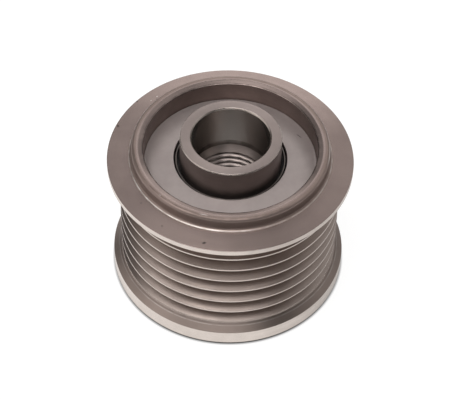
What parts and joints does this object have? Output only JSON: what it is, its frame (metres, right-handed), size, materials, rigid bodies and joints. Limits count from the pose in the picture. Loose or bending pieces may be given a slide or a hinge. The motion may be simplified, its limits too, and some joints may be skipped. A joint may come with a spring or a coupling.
{
  "type": "overrunning alternator pulley",
  "caption": "Steel poly-V belt pulley with a one-way clutch, free to spin on a threaded hub with a smooth pilot bore.",
  "frame": {"origin": "on the axis, at the outer ring's front face, which the part stands on", "axes": "+Z along the axis towards the alternator; X and Y are free, since the part is round"},
  "size_m": [0.0538, 0.0536, 0.0391],
  "materials": {
    "turned_steel": "satin, fine turned",
    "disc_steel": "smooth satin",
    "hub_steel": "ground",
    "bearing_steel": "polished",
    "spring_steel": "bright rolled",
    "seal_steel": "pressed sheet",
    "cage_plastic": "moulded",
    "seal_rubber": "matte"
  },
  "bodies": {
    "hub": {"hub": "hub_steel"},
    "pulley": {"outer_ring": "turned_steel", "end_disc": "disc_steel", "clutch_sleeve": "bearing_steel", "clutch_cage": "cage_plastic", "front_thrust_ring": "cage_plastic", "rear_thrust_ring": "cage_plastic", "rear_seal_case": "seal_steel", "rear_seal_lip": "seal_rubber", "front_seal_case": "seal_steel", "front_seal_lip": "seal_rubber", "clutch_roller_01": "bearing_steel", "clutch_roller_02": "bearing_steel", "clutch_roller_03": "bearing_steel", "clutch_roller_04": "bearing_steel", "clutch_roller_05": "bearing_steel", "clutch_roller_06": "bearing_steel", "clutch_roller_07": "bearing_steel", "clutch_roller_08": "bearing_steel", "clutch_roller_09": "bearing_steel", "clutch_roller_10": "bearing_steel", "clutch_spring_01": "spring_steel", "clutch_spring_02": "spring_steel", "clutch_spring_03": "spring_steel", "clutch_spring_04": "spring_steel", "clutch_spring_05": "spring_steel", "clutch_spring_06": "spring_steel", "clutch_spring_07": "spring_steel", "clutch_spring_08": "spring_steel", "clutch_spring_09": "spring_steel", "clutch_spring_10": "spring_steel"},
    "front_needle_row": {"front_needle_cage": "cage_plastic", "front_needle_01": "bearing_steel", "front_needle_02": "bearing_steel", "front_needle_03": "bearing_steel", "front_needle_04": "bearing_steel", "front_needle_05": "bearing_steel", "front_needle_06": "bearing_steel", "front_needle_07": "bearing_steel", "front_needle_08": "bearing_steel", "front_needle_09": "bearing_steel", "front_needle_10": "bearing_steel", "front_needle_11": "bearing_steel", "front_needle_12": "bearing_steel"},
    "rear_needle_row": {"rear_needle_cage": "cage_plastic", "rear_needle_01": "bearing_steel", "rear_needle_02": "bearing_steel", "rear_needle_03": "bearing_steel", "rear_needle_04": "bearing_steel", "rear_needle_05": "bearing_steel", "rear_needle_06": "bearing_steel", "rear_needle_07": "bearing_steel", "rear_needle_08": "bearing_steel", "rear_needle_09": "bearing_steel", "rear_needle_10": "bearing_steel", "rear_needle_11": "bearing_steel", "rear_needle_12": "bearing_steel"}
  },
  "joints": [
    {"name": "pulley_spin", "type": "hinge", "parent": "hub", "child": "pulley", "pos_m": [0, 0, 0.018], "axis": [0, 0, 1], "continuous": true},
    {"name": "front_needle_row_spin", "type": "hinge", "parent": "hub", "child": "front_needle_row", "pos_m": [0, 0, 0.01], "axis": [0, 0, 1], "continuous": true},
    {"name": "rear_needle_row_spin", "type": "hinge", "parent": "hub", "child": "rear_needle_row", "pos_m": [0, 0, 0.023], "axis": [0, 0, 1], "continuous": true}
  ],
  "couplings": [
    {"joint": "front_needle_row_spin", "follows": "pulley_spin", "ratio": 0.54853},
    {"joint": "rear_needle_row_spin", "follows": "pulley_spin", "ratio": 0.54853}
  ]
}
